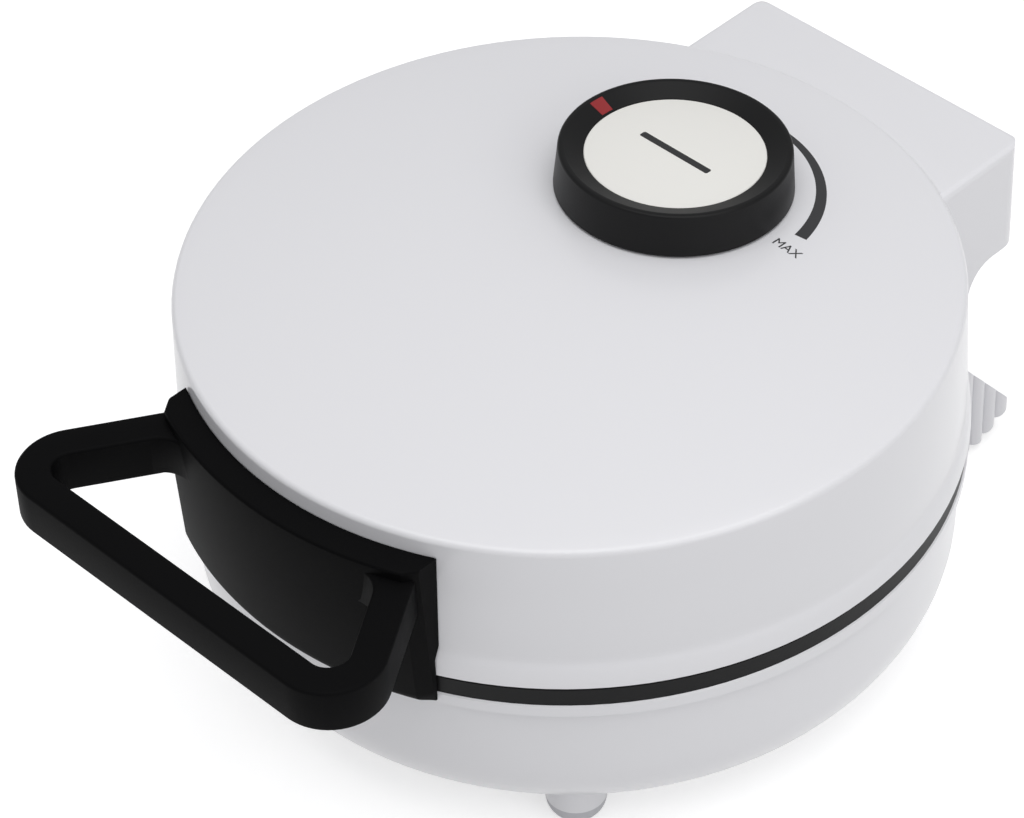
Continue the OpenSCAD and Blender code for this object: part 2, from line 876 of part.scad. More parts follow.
module lid_shell() {
    color(white)
        on_body()
            difference() {
                union() {
                    difference() {
                        union() {
                            lid_skin();
                            block_skin();
                            block_fillet();
                            lid_knuckles();
                        }
                        lid_hollow();
                        block_hollow();
                    }
                    intersection() {
                        union() {
                            in_lid() {
                                ring_bosses();
                                posts(2 * parting_z - crown_z);
                            }
                            handle_bosses();
                        }
                        lid_skin();
                    }
                }
                in_lid() {
                    ring_boss_holes();
                    post_holes();
                }
                for (side = [-1, 1])
                    translate([side * handle_screw_x, handle_boss_y + over, handle_screw_z])
                        rotate([90, 0, 0])
                            cylinder(h = 12, r = screw_r + 0.3, $fn = 32);
                translate([0, pin_y, pin_z])
                    rod_x(-hinge_half_w, hinge_half_w, pin_r + run_play);
                translate([0, knob_back, knob_seat_z])
                    rotate([-knob_tilt, 0, 0])
                        translate([0, 0, -2 * wall_t])
                            cylinder(h = 4 * wall_t, r = bush_r + 0.15, $fn = 48);
            }
}

// Black block that wraps the lid's front
module apron() {
    lip_top_z = lid_z + lid_lip_h;
    top_r = body_r + apron_gap + lid_draft * apron_drop / lid_h;
    outer_r = body_r + apron_t + 0.5;
    edge = 1;
    half_w = apron_half_w;
    end_y = -sqrt(pow(body_r, 2) - pow(half_w, 2));
    intersection() {
        rotate_extrude($fn = 144)
            polygon([[top_r, apron_top_z], [lid_foot_r + apron_gap, lip_top_z + lip_flare_h],
                     [lid_lip_r + apron_gap, lip_top_z], [lid_lip_r + apron_gap, apron_bottom_z],
                     [outer_r - apron_draft - edge, apron_bottom_z],
                     [outer_r - apron_draft, apron_bottom_z + edge],
                     [outer_r, apron_top_z - edge], [outer_r - edge, apron_top_z]]);
        linear_extrude(height = edge_z)
            polygon([[-half_w, 0], [-half_w, end_y - 2],
                     [-half_w + apron_chamfer, end_y - 2 - apron_chamfer],
                     [-half_w + apron_chamfer, -outer_r - 1],
                     [half_w - apron_chamfer, -outer_r - 1],
                     [half_w - apron_chamfer, end_y - 2 - apron_chamfer],
                     [half_w, end_y - 2], [half_w, 0]]);
    }
}

// Bar, corners and spread arms of the handle
module grip() {
    turn = 90 + arm_splay;
    inner_r = grip_corner_r - bar_w;
    corner_y = -front_reach + grip_corner_r;
    line_at = grip_half_w * cos(arm_splay) - front_reach * sin(arm_splay) - grip_corner_r;
    corner_x = (line_at - corner_y * sin(arm_splay)) / cos(arm_splay);
    arm_l = (-corner_y - body_r * 0.89 + grip_corner_r * sin(arm_splay)) / cos(arm_splay);
    section = cut_bar(bar_w, bar_h, bar_chamfer);
    translate([0, 0, bar_top_z - bar_h]) {
        translate([-corner_x, -front_reach, 0])
            rotate([90, 0, 90])
                linear_extrude(height = 2 * corner_x)
                    polygon(section);
        for (side = [0, 1])
            mirror([side, 0, 0])
                translate([corner_x, corner_y, 0]) {
                    rotate([0, 0, -90])
                        rotate_extrude(angle = turn)
                            translate([inner_r, 0])
                                polygon(section);
                    rotate([0, 0, arm_splay])
                        translate([inner_r, 0, 0])
                            rotate([90, 0, 180])
                                mirror([1, 0, 0])
                                    linear_extrude(height = arm_l)
                                        polygon(section);
                }
    }
}

module handle() {
    color(black)
        on_body()
            difference() {
                union() {
                    apron();
                    difference() {
                        grip();
                        translate([0, 0, apron_bottom_z])
                            cylinder(h = apron_h, r = body_r + 4);
                    }
                }
                for (side = [-1, 1])
                    translate([side * handle_screw_x, handle_boss_y, handle_screw_z])
                        rotate([90, 0, 0])
                            cylinder(h = handle_screw_l + 0.6, r = screw_r + press_play, $fn = 32);
            }
}

module handle_screws() {
    color(steel)
        on_body()
            for (side = [-1, 1])
                translate([side * handle_screw_x, handle_boss_y, handle_screw_z])
                    rotate([-90, 0, 0])
                        screw(screw_r, screw_head_r, screw_head_t, handle_screw_l);
}

module liner_ring() {
    color(black)
        on_body()
            in_lid()
                clamp_ring(lid_lip_r - wall_t - seat_gap);
}

module liner_screws() {
    color(steel)
        on_body()
            in_lid()
                clamp_screws();
}

module upper_plate() {
    color(coated)
        on_body()
            in_lid()
                plate();
}

module upper_heater() {
    color([0.45, 0.44, 0.43])
        on_body()
            in_lid()
                heater();
}

module upper_reflector() {
    color(steel)
        on_body()
            difference() {
                in_lid()
                    reflector();
                translate([0, knob_back, 0])
                    cylinder(h = edge_z, r = feeler_hole_r, $fn = 32);
            }
}

module upper_reflector_screws() {
    color(steel)
        on_body()
            in_lid()
                reflector_screws();
}

// Thermostat hung from the dome by its bush
module thermostat() {
    shoulder_r = 8;
    color([0.78, 0.72, 0.60])
        on_dome()
            difference() {
                union() {
                    translate([-stat_w / 2, -stat_d / 2, -wall_t - shoulder_t - stat_h])
                        cube([stat_w, stat_d, stat_h]);
                    translate([0, 0, -wall_t - shoulder_t - 0.5])
                        cylinder(h = shoulder_t + 0.5 - 0.1, r = shoulder_r, $fn = 64);
                    translate([0, 0, -wall_t - shoulder_t])
                        cylinder(h = wall_t + shoulder_t + bush_top, r = bush_r, $fn = 64);
                }
                translate([0, 0, -wall_t - shoulder_t - stat_h / 2])
                    cylinder(h = stat_h + wall_t + shoulder_t + bush_top,
                             r = spindle_r + run_play, $fn = 64);
            }
}

module thermostat_nut() {
    color(steel)
        on_dome()
            translate([0, 0, 0.05])
                difference() {
                    cylinder(h = nut_t, r = nut_r, $fn = 6);
                    translate([0, 0, -over])
                        cylinder(h = nut_t + 2 * over, r = bush_r + press_play, $fn = 64);
                }
}

// Feeler from the thermostat to the upper plate's back
module sensor_probe() {
    back_z = 2 * parting_z - ring_top_z + plate_back;
    bulb_r = 3;
    bulb_h = 6;
    stem_r = 1.2;
    top_z = knob_seat_z - (wall_t + shoulder_t + stat_h) / cos(knob_tilt) - seat_gap
        - stem_r * tan(knob_tilt);
    color([0.75, 0.50, 0.32])
        on_body()
            translate([0, knob_back, back_z])
                rotate_extrude($fn = 40)
                    polygon([[0, 0], [bulb_r, 0], [bulb_r, bulb_h - 1], [bulb_r - 1, bulb_h],
                             [stem_r, bulb_h], [stem_r, top_z - back_z], [0, top_z - back_z]]);
}

// Round bar with one flat, the shape of the spindle's upper end
module flatted(h, r) {
    intersection() {
        cylinder(h = h, r = r, $fn = 64);
        translate([-r, -r, 0])
            cube([2 * r, 1.7 * r, h]);
    }
}

module spindle() {
    foot = -wall_t - shoulder_t - stat_h / 2 + 0.5;
    top = knob_h - cap_t - 1;
    color(steel)
        on_dome() {
            translate([0, 0, foot])
                cylinder(h = bush_top - foot, r = spindle_r, $fn = 64);
            translate([0, 0, bush_top - 0.5])
                flatted(top - bush_top + 0.5, spindle_r);
        }
}

// Black skirted ring of the knob, with its hub and the seats of its inlays
module knob_ring() {
    flare = 0.7;
    edge = 0.9;
    sag = -0.3;
    web_z = knob_h - knob_top_t - 0.6;
    seat_z = knob_h - cap_t;
    hub_r = 6.5;
    hub_z = bush_top + 0.6;
    color(black)
        on_dome()
            difference() {
                union() {
                    rotate_extrude($fn = 128)
                        polygon([[knob_r + flare - knob_skirt_t, sag], [knob_r + flare, sag],
                                 [knob_r, knob_h - edge], [knob_r - edge * 0.3, knob_h - edge * 0.3],
                                 [knob_r - edge, knob_h], [cap_r + cap_play, knob_h],
                                 [cap_r + cap_play, seat_z], [0, seat_z], [0, web_z],
                                 [knob_r - knob_skirt_t, web_z]]);
                    translate([0, 0, hub_z])
                        cylinder(h = web_z - hub_z + 0.5, r = hub_r, $fn = 64);
                }
                translate([0, 0, hub_z - over])
                    flatted(knob_h - cap_t - 0.8 - hub_z + over, spindle_r + press_play);
                pointer_shape(0.05);
            }
}

// Outline of the pointer inlay, wider by the given play
module pointer_shape(play) {
    pointer_w = 3.4;
    inner = cap_r + 0.9;
    outer = knob_r - 1.2;
    translate([-outer - play, -pointer_w / 2 - play, knob_h - inlay_t])
        cube([outer - inner + 2 * play, pointer_w + 2 * play, inlay_t + (play > 0 ? over : 0)]);
}

// Outline of the dark bar inlay, wider by the given play
module mark_shape(play) {
    translate([-mark_l / 2 - play, -mark_w / 2 - play, knob_h - inlay_t])
        cube([mark_l + 2 * play, mark_w + 2 * play, inlay_t + (play > 0 ? over : 0)]);
}

module knob_cap() {
    edge = 0.4;
    color([0.91, 0.90, 0.87])
        on_dome()
            difference() {
                rotate_extrude($fn = 128)
                    polygon([[0, knob_h - cap_t], [cap_r, knob_h - cap_t], [cap_r, knob_h - edge],
                             [cap_r - edge, knob_h], [0, knob_h]]);
                mark_shape(0.05);
            }
}

module knob_mark() {
    color(black)
        on_dome()
            mark_shape(0);
}

module knob_pointer() {
    color([0.75, 0.10, 0.12])
        on_dome()
            pointer_shape(0);
}

base_shell();
feet();
rim_ring();
rim_screws();
lower_plate();
lower_heater();
lower_reflector();
lower_reflector_screws();
thermal_fuse();
terminal_block();
cord_gland();
hinge_pin();
lid_shell();
handle();
handle_screws();
liner_ring();
liner_screws();
upper_plate();
upper_heater();
upper_reflector();
upper_reflector_screws();
thermostat();
thermostat_nut();
sensor_probe();
spindle();
knob_ring();
knob_cap();
knob_mark();
knob_pointer();
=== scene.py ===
import json
import math

import bmesh
import bpy
from mathutils import Matrix, Vector
from mathutils.bvhtree import BVHTree


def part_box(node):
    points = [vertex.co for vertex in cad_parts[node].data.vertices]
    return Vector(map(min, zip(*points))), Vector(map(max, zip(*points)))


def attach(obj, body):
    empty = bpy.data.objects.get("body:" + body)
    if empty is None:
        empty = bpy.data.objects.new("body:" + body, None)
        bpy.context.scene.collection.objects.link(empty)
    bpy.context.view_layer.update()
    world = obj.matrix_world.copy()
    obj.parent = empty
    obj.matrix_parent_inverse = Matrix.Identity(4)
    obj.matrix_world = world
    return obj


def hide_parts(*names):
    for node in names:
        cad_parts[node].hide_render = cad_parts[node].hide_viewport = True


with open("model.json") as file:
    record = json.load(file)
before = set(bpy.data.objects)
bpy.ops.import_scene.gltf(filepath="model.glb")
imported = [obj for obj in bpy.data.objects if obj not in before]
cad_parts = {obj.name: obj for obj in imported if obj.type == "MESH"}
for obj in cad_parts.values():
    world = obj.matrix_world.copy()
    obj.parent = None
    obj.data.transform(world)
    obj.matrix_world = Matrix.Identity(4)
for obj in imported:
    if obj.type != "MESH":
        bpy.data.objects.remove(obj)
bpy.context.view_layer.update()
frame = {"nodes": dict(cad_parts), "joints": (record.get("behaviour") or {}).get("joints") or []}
nodes = frame["nodes"]
MM = 0.001

# Camera, fitted to the photograph with a pinhole model
CAMERA_AT = Vector((594.4, -575.2, 821.2)) * MM
CAMERA_YAW = math.radians(-46.617)
CAMERA_PITCH = math.radians(-42.280)
CAMERA_ROLL = math.radians(-2.570)
CAMERA_LENS_MM = 146.0
CAMERA_FAR = 100
SENSOR_MM = 36.0

# Studio: its levels, and the places and sizes of its lamps in metres
WORLD_LEVEL = 0.47
WORLD_COLOUR = (0.985, 0.99, 1.0)
LIGHT_AIM = Vector((0, 0, 0.06))
TOP_LIGHT_AT = Vector((0.25, -0.1, 1.6))
TOP_LIGHT_SIZE = (1.6, 1.6)
TOP_LIGHT_W = 13.4
SIDE_LIGHT_AT = Vector((1.5, -0.2, 0.9))
SIDE_LIGHT_SIZE = (1.2, 0.8)
SIDE_LIGHT_W = 4.0
FLOOR_SIZE = 20
FLOOR_COLOUR = (0.70, 0.70, 0.70)
FLOOR_ROUGH = 0.9
FLOOR_GLOSS = 0.1
FLOOR_LIFT = 0.58

# Places of the body and the knob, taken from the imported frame
BODY_Y = (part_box("lower_plate")[0].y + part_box("lower_plate")[1].y) / 2 / MM
KNOB_JOINT = next(j for j in frame["joints"] if j["name"] == "knob_turn")
KNOB_AT = Vector(KNOB_JOINT["pos_m"])
KNOB_UP = -Vector(KNOB_JOINT["axis"]).normalized()
KNOB_TURN = Vector((0, 0, 1)).rotation_difference(KNOB_UP).to_matrix().to_4x4()
KNOB_FRAME = Matrix.Translation(KNOB_AT) @ KNOB_TURN
BODY_FRAME = Matrix.Translation((0, BODY_Y * MM, 0))


def add_camera():
    forward = Vector((math.sin(CAMERA_YAW) * math.cos(CAMERA_PITCH),
                      math.cos(CAMERA_YAW) * math.cos(CAMERA_PITCH), math.sin(CAMERA_PITCH)))
    level_right = forward.cross(Vector((0, 0, 1))).normalized()
    level_up = level_right.cross(forward)
    right = level_right * math.cos(CAMERA_ROLL) + level_up * math.sin(CAMERA_ROLL)
    up = level_up * math.cos(CAMERA_ROLL) - level_right * math.sin(CAMERA_ROLL)
    turn = Matrix((right, up, -forward)).transposed().to_4x4()
    camera = bpy.data.objects.new("camera", bpy.data.cameras.new("camera"))
    camera.matrix_world = Matrix.Translation(CAMERA_AT) @ turn
    camera.data.lens = CAMERA_LENS_MM
    camera.data.sensor_width = SENSOR_MM
    camera.data.sensor_fit = "HORIZONTAL"
    camera.data.clip_end = CAMERA_FAR
    bpy.context.scene.collection.objects.link(camera)
    bpy.context.scene.camera = camera


def add_area_light(name, at, size, watts):
    light = bpy.data.lights.new(name, "AREA")
    light.shape = "RECTANGLE"
    light.size, light.size_y = size
    light.energy = watts
    lamp = bpy.data.objects.new(name, light)
    lamp.location = at
    lamp.rotation_euler = (LIGHT_AIM - at).to_track_quat("-Z", "Y").to_euler()
    bpy.context.scene.collection.objects.link(lamp)


# Materials: scales per metre, depths in metres, tones as shares of the colour
MOTTLE_SCALE = 18
COAT_ROUGH = 0.12
LAY_TONES = (0.88, 1.06)
LAY_ROUGH = (0.8, 1.25)
SPECK_SCALE = 1400
SPECK_TONES = (0.85, 1.5)
CAST_SCALE = 260
CAST_ROUGH = (0.36, 0.52)
CAST_DEPTH = 0.00004
COATING_METALLIC = 0.35

# How far from a half the noise is followed: clear tones, or faint ones without plateaus
CLEAR_REACH = 0.2
FAINT_REACH = 0.5


def link_nodes(tree, *pairs):
    for source, target in pairs:
        tree.links.new(source, target)


def new_material(name):
    """A material with its shader, its tree and the object's own coordinates"""
    material = bpy.data.materials.new(name)
    material.use_nodes = True
    tree = material.node_tree
    shader = tree.nodes["Principled BSDF"]
    coords = tree.nodes.new("ShaderNodeTexCoord").outputs["Object"]
    return material, tree, shader, coords


def noise(tree, coords, scale, detail=3.0, stretch=(1, 1, 1)):
    mapping = tree.nodes.new("ShaderNodeMapping")
    mapping.inputs["Scale"].default_value = stretch
    texture = tree.nodes.new("ShaderNodeTexNoise")
    texture.inputs["Scale"].default_value = scale
    texture.inputs["Detail"].default_value = detail
    link_nodes(tree, (coords, mapping.inputs["Vector"]),
               (mapping.outputs["Vector"], texture.inputs["Vector"]))
    return texture.outputs["Fac"]


def spread(tree, value, low, high, reach=CLEAR_REACH):
    """The noise, within this reach of a half, carried to the range low to high"""
    ranged = tree.nodes.new("ShaderNodeMapRange")
    ranged.inputs["From Min"].default_value = 0.5 - reach
    ranged.inputs["From Max"].default_value = 0.5 + reach
    ranged.inputs["To Min"].default_value = low
    ranged.inputs["To Max"].default_value = high
    tree.links.new(value, ranged.inputs["Value"])
    return ranged.outputs["Result"]


def two_tones(tree, value, colour, tones, reach=CLEAR_REACH):
    """The noise, within this reach of a half, carried from the colour's dark to its light tone"""
    ramp = tree.nodes.new("ShaderNodeValToRGB")
    for stop, place, tone in zip(ramp.color_ramp.elements, (0.5 - reach, 0.5 + reach), tones):
        stop.position = place
        stop.color = (*shade(colour, tone), 1)
    tree.links.new(value, ramp.inputs["Fac"])
    return ramp.outputs["Color"]


def shade(colour, factor):
    return tuple(min(1.0, c * factor) for c in colour)


def bump(tree, shader, value, depth):
    node = tree.nodes.new("ShaderNodeBump")
    node.inputs["Distance"].default_value = depth
    link_nodes(tree, (value, node.inputs["Height"]), (node.outputs["Normal"], shader.inputs["Normal"]))


def plastic(name, colour, rough, mottle=0.02, grain=900, grain_depth=0.00002, coat=0.0, gloss=0.5,
            wander=0.1):
    """Moulded plastic: faint mottling, roughness that wanders, and a fine moulded grain"""
    material, tree, shader, coords = new_material(name)
    broad = noise(tree, coords, MOTTLE_SCALE)
    fine = noise(tree, coords, grain, 2)
    link_nodes(tree,
               (two_tones(tree, broad, colour, (1 - mottle, 1 + mottle), FAINT_REACH),
                shader.inputs["Base Color"]),
               (spread(tree, broad, rough * (1 - wander), rough * (1 + wander), FAINT_REACH),
                shader.inputs["Roughness"]))
    bump(tree, shader, fine, grain_depth)
    shader.inputs["Coat Weight"].default_value = coat
    shader.inputs["Coat Roughness"].default_value = COAT_ROUGH
    shader.inputs["Specular IOR Level"].default_value = gloss
    return material


def metal(name, colour, rough, stretch=(1, 1, 12), scale=160, depth=0.00001):
    """Drawn or rolled metal with a faint lay along one direction"""
    material, tree, shader, coords = new_material(name)
    lay = noise(tree, coords, scale, 4, stretch)
    link_nodes(tree,
               (two_tones(tree, lay, colour, LAY_TONES), shader.inputs["Base Color"]),
               (spread(tree, lay, rough * LAY_ROUGH[0], rough * LAY_ROUGH[1]),
                shader.inputs["Roughness"]))
    bump(tree, shader, lay, depth)
    shader.inputs["Metallic"].default_value = 1.0
    return material


def coated(name, colour):
    """Cast aluminium under a dark non-stick coating with fine pale specks"""
    material, tree, shader, coords = new_material(name)
    specks = noise(tree, coords, SPECK_SCALE, 1)
    cast = noise(tree, coords, CAST_SCALE, 5)
    link_nodes(tree,
               (two_tones(tree, specks, colour, SPECK_TONES), shader.inputs["Base Color"]),
               (spread(tree, cast, *CAST_ROUGH), shader.inputs["Roughness"]))
    bump(tree, shader, cast, CAST_DEPTH)
    shader.inputs["Metallic"].default_value = COATING_METALLIC
    return material


WHITE = plastic("white_shell", (0.80, 0.797, 0.823), 0.28, mottle=0.003, grain=700,
                grain_depth=0.000004, coat=0.25, wander=0.03)
HANDLE_BLACK = plastic("handle_black", (0.0035, 0.0035, 0.0038), 0.55, mottle=0.2, grain=1500,
                       grain_depth=0.00003, gloss=0.04)
RING_BLACK = plastic("ring_black", (0.005, 0.005, 0.0055), 0.45, mottle=0.15, grain=1200, gloss=0.15)
FOOT_GREY = plastic("foot_grey", (0.56, 0.56, 0.59), 0.5, mottle=0.03)
CERAMIC = plastic("ceramic", (0.74, 0.70, 0.62), 0.22, mottle=0.03, coat=0.6)
FUSE_TAN = plastic("fuse_tan", (0.42, 0.32, 0.20), 0.4, mottle=0.10)
KNOB_BLACK = plastic("knob_black", (0.006, 0.006, 0.0064), 0.42, mottle=0.15, grain=1500, gloss=0.2)
CAP_WHITE = plastic("cap_white", (0.845, 0.835, 0.80), 0.42, mottle=0.008, grain=1300,
                    grain_depth=0.000006)
MARK_BLACK = plastic("mark_black", (0.020, 0.020, 0.022), 0.5, mottle=0.1)
POINTER_RED = plastic("pointer_red", (0.28, 0.010, 0.013), 0.3, mottle=0.05, coat=0.3)
PRINT_GREY = plastic("print_grey", (0.030, 0.030, 0.033), 0.45, mottle=0.08)
ELEMENT = metal("element_steel", (0.20, 0.185, 0.175), 0.42)
SHEET = metal("sheet_steel", (0.60, 0.61, 0.63), 0.24, stretch=(14, 1, 1))
SCREW = metal("screw_steel", (0.50, 0.51, 0.53), 0.30)
PIN = metal("pin_steel", (0.55, 0.56, 0.58), 0.22, stretch=(0.2, 6, 6))
STAT = metal("thermostat_body", (0.46, 0.42, 0.34), 0.38)
COPPER = metal("probe_copper", (0.62, 0.30, 0.18), 0.30)
COATED = coated("coated_plate", (0.040, 0.040, 0.043))

# Nodes that keep their own mesh
KEPT = {
    "rim_screws": SCREW, "lower_heater": ELEMENT, "lower_reflector": SHEET,
    "lower_reflector_screws": SCREW, "thermal_fuse": FUSE_TAN, "terminal_block": CERAMIC,
    "cord_gland": FOOT_GREY, "hinge_pin": PIN, "handle_screws": SCREW, "liner_screws": SCREW,
    "upper_heater": ELEMENT, "upper_reflector": SHEET, "upper_reflector_screws": SCREW,
    "thermostat": STAT, "thermostat_nut": SCREW, "sensor_probe": COPPER, "spindle": PIN,
}

# Edges between faces that turn by less than these angles shade smoothly
SMOOTH_ANGLE = math.radians(28)
ROUND_ANGLE = math.radians(35)
FILLET_ANGLE = math.radians(50)

# Skins of the housings, in millimetres about the body's middle
EDGE_BAND = 0.8
RING_EDGE_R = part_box("rim_ring")[1].x / MM
RING_PROUD = 1.5
BASE_LIP_Z = 54.8
BASE_LIP_DEEPER = 1.0
BASE_LIP_R = 105.6
LID_LIP_Z = (69.8, 74.0)
LID_LIP_R = 106.2
LID_LIP_LEAN = 0.5
HEEL_TOE_L = 12.0
HEEL_TOE_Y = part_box("base_shell")[1].y / MM - BODY_Y - HEEL_TOE_L
HEEL_TOE_RISE = 6.0
HEEL_BOTTOM_Z = 2.5
HINGE_HALF_W = 50.0
WELD_M = 0.000002


def keep_node(name, material):
    piece = nodes[name]
    if not piece.material_slots:
        piece.data.materials.append(material)
    for slot in piece.material_slots:
        slot.material = material


def behind(x, y):
    """Whether a place lies in the strip behind the body's middle that the hinge takes up"""
    return y > 0 and abs(x) < HINGE_HALF_W


def ring_shape(x, y, z):
    """The ring's outer wall, carried out to the edge of the base's lip"""
    r = math.hypot(x, y)
    grown = (r + RING_PROUD) / r if r > RING_EDGE_R - EDGE_BAND else 1.0
    return x * grown, y * grown, z


def base_shape(x, y, z):
    """The base with a deeper lip, and with the heel's underside raised towards its back edge"""
    r = math.hypot(x, y)
    if r > BASE_LIP_R and abs(z - BASE_LIP_Z) < EDGE_BAND and not behind(x, y):
        z -= BASE_LIP_DEEPER
    if y > HEEL_TOE_Y:
        z = max(z, HEEL_BOTTOM_Z + HEEL_TOE_RISE * (y - HEEL_TOE_Y) / HEEL_TOE_L)
    return x, y, z


def lid_shape(x, y, z):
    """The lid with its lip leaning in towards the wall"""
    r = math.hypot(x, y)
    low, high = LID_LIP_Z
    lean = (r - LID_LIP_LEAN) / r if r > LID_LIP_R and low < z < high and not behind(x, y) else 1.0
    return x * lean, y * lean, z


def add_piece(name, mesh, material, body, replaced=()):
    mesh.materials.clear()
    mesh.materials.append(material)
    piece = bpy.data.objects.new(name, mesh)
    bpy.context.scene.collection.objects.link(piece)
    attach(piece, body)
    if replaced:
        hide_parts(*replaced)
    return piece


def mark_smooth(edit, angle):
    for face in edit.faces:
        face.smooth = True
    for edge in edit.edges:
        edge.smooth = len(edge.link_faces) == 2 and edge.calc_face_angle(0) < angle


def smooth_skin(name, material, body, shape=None):
    """The node's surface welded into one skin that shades smoothly over its round stretches"""
    mesh = nodes[name].data.copy()
    edit = bmesh.new()
    edit.from_mesh(mesh)
    bmesh.ops.remove_doubles(edit, verts=edit.verts, dist=WELD_M)
    if shape:
        for vert in edit.verts:
            x, y, z = shape(vert.co.x / MM, vert.co.y / MM - BODY_Y, vert.co.z / MM)
            vert.co = Vector((x, y + BODY_Y, z)) * MM
    mark_smooth(edit, SMOOTH_ANGLE)
    edit.to_mesh(mesh)
    edit.free()
    if "custom_normal" in mesh.attributes:
        mesh.attributes.remove(mesh.attributes["custom_normal"])
    return add_piece(name + "_skin", mesh, material, body, (name,))


def finish_mesh(name, edit, place, angle=SMOOTH_ANGLE):
    """The bmesh, drawn in millimetres in the frame of its place, as a mesh in metres"""
    bmesh.ops.recalc_face_normals(edit, faces=edit.faces)
    mark_smooth(edit, angle)
    edit.transform(place @ Matrix.Scale(MM, 4))
    mesh = bpy.data.meshes.new(name)
    edit.to_mesh(mesh)
    edit.free()
    return mesh


def arc(x, y, r, start, end, steps):
    """Points of an arc about (x, y), by its angles in degrees"""
    turns = [math.radians(start + (end - start) * i / steps) for i in range(steps + 1)]
    return [(x + r * math.cos(t), y + r * math.sin(t)) for t in turns]


def lathe(edit, profile, steps=128, at=(0, 0)):
    """A closed profile of (radius, height) points turned about an upright line"""
    rings = []
    for radius, height in profile:
        if radius == 0:
            rings.append([edit.verts.new((at[0], at[1], height))] * steps)
            continue
        rings.append([edit.verts.new((at[0] + radius * math.cos(2 * math.pi * i / steps),
                                      at[1] + radius * math.sin(2 * math.pi * i / steps), height))
                      for i in range(steps)])
    for low, high in zip(rings, rings[1:] + rings[:1]):
        for i in range(steps):
            j = (i + 1) % steps
            corners = list(dict.fromkeys((low[i], low[j], high[j], high[i])))
            if len(corners) > 2:
                edit.faces.new(corners)


def sweep(edit, sections):
    """A closed skin through sections of equally many points, with a flat face at both ends"""
    rows = [[edit.verts.new(point) for point in section] for section in sections]
    count = len(rows[0])
    for row, after in zip(rows, rows[1:]):
        for i in range(count):
            j = (i + 1) % count
            edit.faces.new((row[i], row[j], after[j], after[i]))
    edit.faces.new(rows[0])
    edit.faces.new(rows[-1])


def cut_rectangle(length, width, cut):
    """Outline of a rectangle with its corners cut"""
    x, y = length / 2, width / 2
    corner = [(x, y - cut), (x - cut, y)]
    upper = corner + [(-px, py) for px, py in reversed(corner)]
    return upper + [(-px, -py) for px, py in upper]


# The knob, in millimetres in its own frame
KNOB_R = 31.5
KNOB_FOOT_R = 32.4
KNOB_FOOT_Z = -0.3
KNOB_FOOT_CUT = 0.3
KNOB_RIM_Z = 12.15
KNOB_RIM_EDGE = 0.8
KNOB_RIM_IN = 29.7
KNOB_DISH_EASE = 0.2
KNOB_DISH_DROP = 0.08
KNOB_INNER_R = 29.2
KNOB_WEB_Z = 6.2
CAP_R = 24.5
CAP_Z = 10.0
CAP_T = 1.5
CAP_EDGE = 0.4
CAP_GAP = 0.1
MARK_L = 24.4
MARK_W = 2.2
MARK_CUT = 0.35
MARK_DEPTH = 0.8
POINTER_TURN = 9.0
POINTER_FROM_CAP = 0.6
POINTER_FROM_RIM = 0.2
POINTER_DEPTH = 0.6
PRINT_PROUD = 0.04


def dish_z(r):
    return CAP_Z + (KNOB_RIM_Z - CAP_Z) * (r - CAP_R) / (KNOB_RIM_IN - CAP_R)


def add_knob():
    """Ring with its dished top, cap, dark bar and red pointer"""
    edit = bmesh.new()
    seat_z = CAP_Z - CAP_T
    foot = [(KNOB_INNER_R, KNOB_FOOT_Z), (KNOB_FOOT_R - KNOB_FOOT_CUT, KNOB_FOOT_Z),
            (KNOB_FOOT_R, KNOB_FOOT_Z + KNOB_FOOT_CUT)]
    rim = arc(KNOB_R - KNOB_RIM_EDGE, KNOB_RIM_Z - KNOB_RIM_EDGE, KNOB_RIM_EDGE, 0, 90, 5)
    dish = [(KNOB_RIM_IN + KNOB_DISH_EASE, KNOB_RIM_Z), (KNOB_RIM_IN, KNOB_RIM_Z - KNOB_DISH_DROP),
            (CAP_R + CAP_GAP, CAP_Z), (CAP_R + CAP_GAP, seat_z), (0, seat_z)]
    web = [(0, KNOB_WEB_Z), (KNOB_INNER_R, KNOB_WEB_Z)]
    lathe(edit, foot + rim + dish + web)
    add_piece("knob_ring_skin", finish_mesh("knob_ring_skin", edit, KNOB_FRAME, ROUND_ANGLE),
              KNOB_BLACK, "knob", ("knob_ring",))

    edit = bmesh.new()
    lathe(edit, [(0, seat_z), (CAP_R, seat_z)]
          + arc(CAP_R - CAP_EDGE, CAP_Z - CAP_EDGE, CAP_EDGE, 0, 90, 4) + [(0, CAP_Z)])
    add_piece("knob_cap_skin", finish_mesh("knob_cap_skin", edit, KNOB_FRAME, ROUND_ANGLE),
              CAP_WHITE, "knob", ("knob_cap",))

    edit = bmesh.new()
    outline = cut_rectangle(MARK_L, MARK_W, MARK_CUT)
    sweep(edit, [[(x, y, z) for x, y in outline] for z in (CAP_Z - MARK_DEPTH, CAP_Z + PRINT_PROUD)])
    add_piece("knob_mark_skin", finish_mesh("knob_mark_skin", edit, KNOB_FRAME), MARK_BLACK, "knob",
              ("knob_mark",))

    edit = bmesh.new()
    inner, outer = CAP_R + POINTER_FROM_CAP, KNOB_RIM_IN - POINTER_FROM_RIM
    sections = []
    steps = 6
    for i in range(steps + 1):
        turn = math.radians(180 + POINTER_TURN * (i / steps - 0.5))
        sections.append([(r * math.cos(turn), r * math.sin(turn), dish_z(r) + up)
                         for r, up in ((inner, -POINTER_DEPTH), (outer, -POINTER_DEPTH),
                                       (outer, PRINT_PROUD), (inner, PRINT_PROUD))])
    sweep(edit, sections)
    add_piece("knob_pointer_skin", finish_mesh("knob_pointer_skin", edit, KNOB_FRAME), POINTER_RED,
              "knob", ("knob_pointer",))


